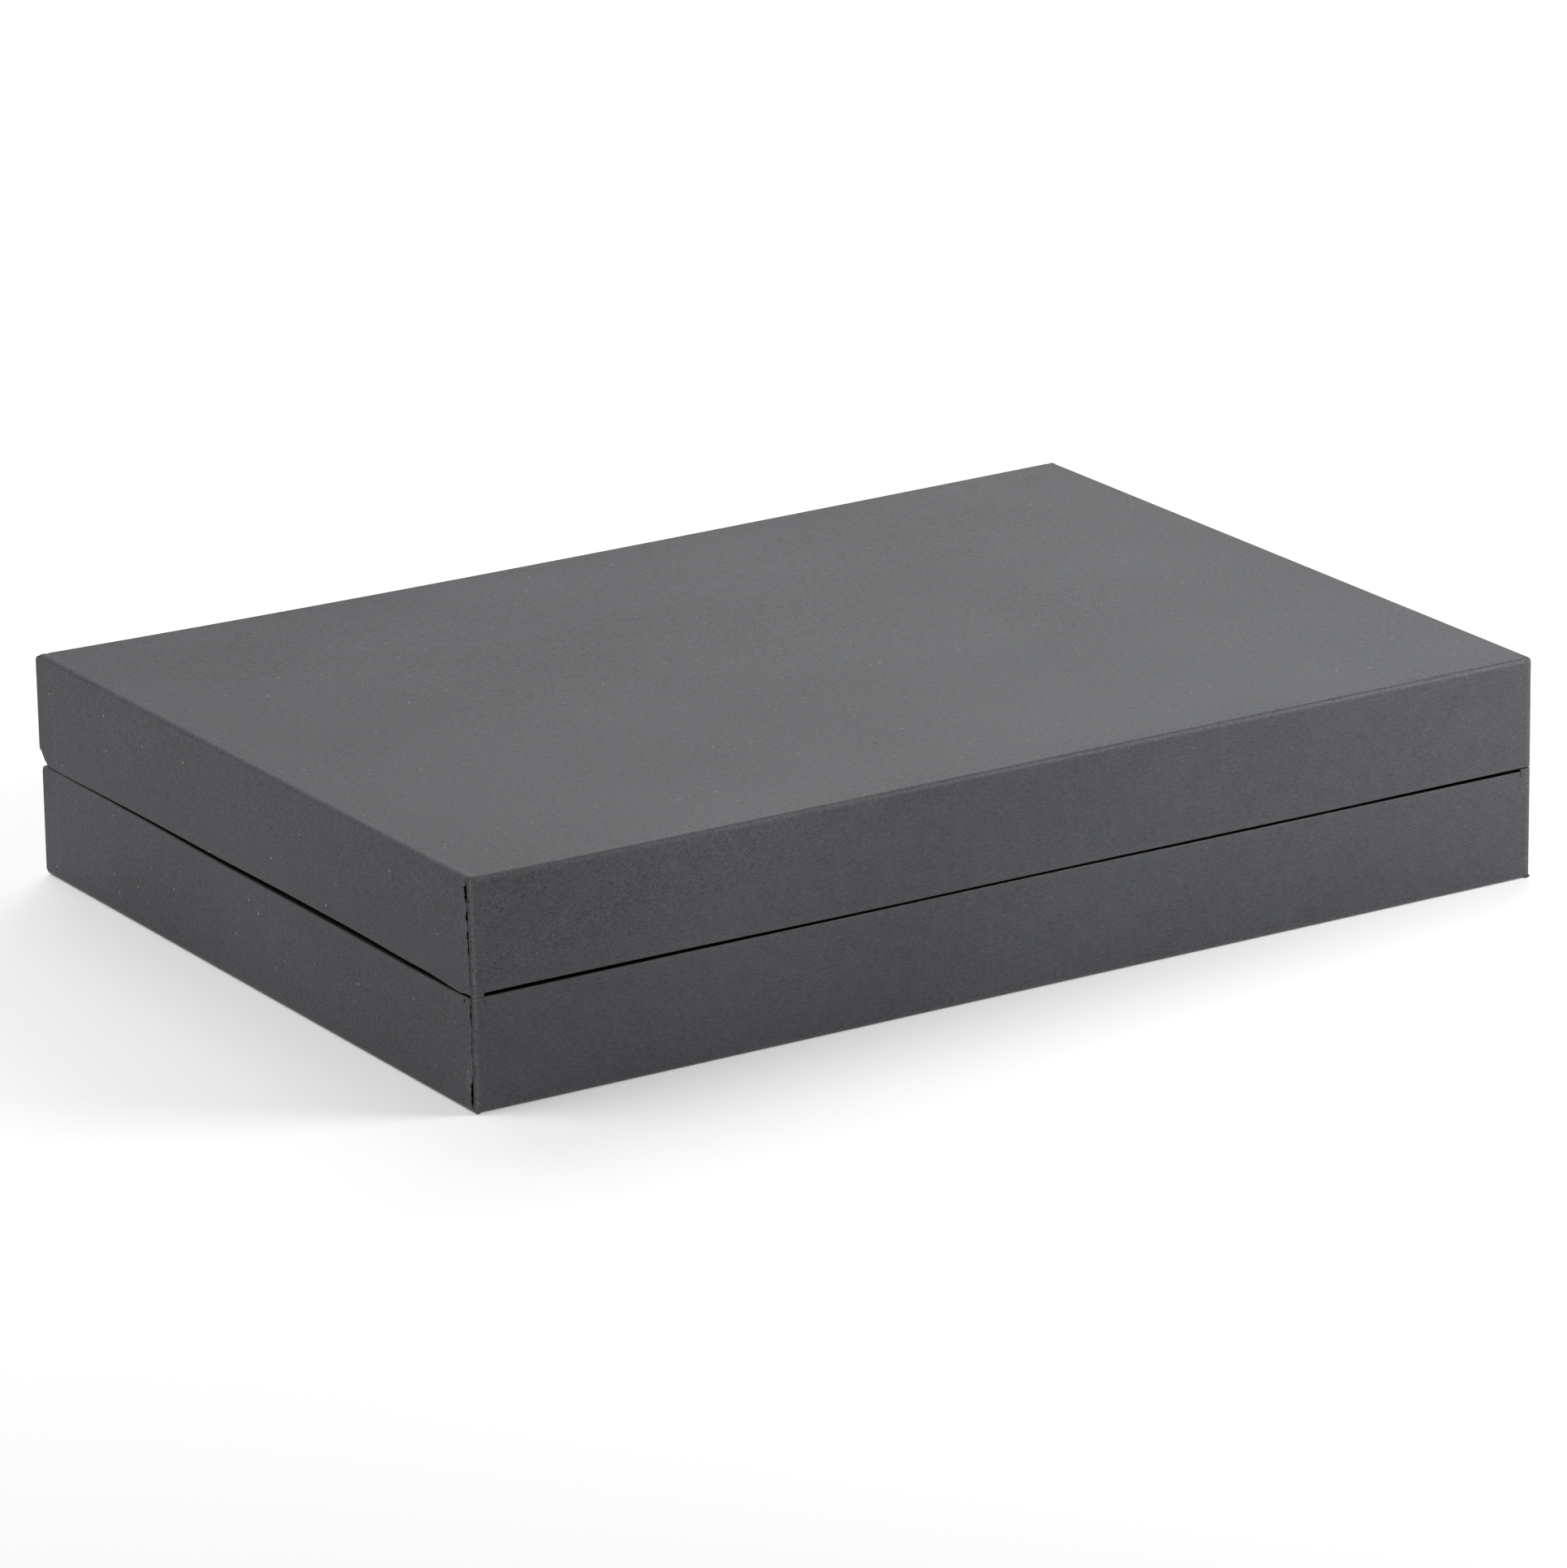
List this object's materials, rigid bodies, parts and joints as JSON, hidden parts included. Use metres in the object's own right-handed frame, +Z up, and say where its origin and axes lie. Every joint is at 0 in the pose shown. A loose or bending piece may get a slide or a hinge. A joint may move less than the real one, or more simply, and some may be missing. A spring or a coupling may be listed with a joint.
{
  "type": "archival box",
  "caption": "Flat clamshell archival box folded from stiff grey board: two shallow trays with double walls, joined along the back by a creased board hinge.",
  "frame": {"origin": "middle of the underside of the closed box", "axes": "+X along the long side, +Z up, +Y from the front wall towards the hinge"},
  "size_m": [0.325, 0.224, 0.0615],
  "materials": {
    "outer_board": "smooth satin dark grey board",
    "inner_board": "matt dark grey board",
    "hinge_crease": "crushed and burnished grey board"
  },
  "bodies": {
    "base": {"base_back_wall": "outer_board", "base_bottom_panel": "outer_board", "base_front_inner_wall": "inner_board", "base_front_outer_wall": "outer_board", "base_front_rim": "outer_board", "base_left_back_flap": "inner_board", "base_left_front_flap": "inner_board", "base_left_inner_wall": "inner_board", "base_left_outer_wall": "outer_board", "base_left_rim": "outer_board", "base_right_back_flap": "inner_board", "base_right_front_flap": "inner_board", "base_right_inner_wall": "inner_board", "base_right_outer_wall": "outer_board", "base_right_rim": "outer_board", "hinge_strip": "hinge_crease"},
    "lid": {"lid_back_wall": "outer_board", "lid_front_inner_wall": "inner_board", "lid_front_outer_wall": "outer_board", "lid_front_rim": "outer_board", "lid_left_back_flap": "inner_board", "lid_left_front_flap": "inner_board", "lid_left_inner_wall": "inner_board", "lid_left_outer_wall": "outer_board", "lid_left_rim": "outer_board", "lid_right_back_flap": "inner_board", "lid_right_front_flap": "inner_board", "lid_right_inner_wall": "inner_board", "lid_right_outer_wall": "outer_board", "lid_right_rim": "outer_board", "lid_top_panel": "outer_board"}
  },
  "joints": [
    {"name": "lid_hinge", "type": "hinge", "parent": "base", "child": "lid", "pos_m": [0, 0.1123, 0.03075], "axis": [-1, 0, 0], "range_deg": [0, 180]}
  ]
}
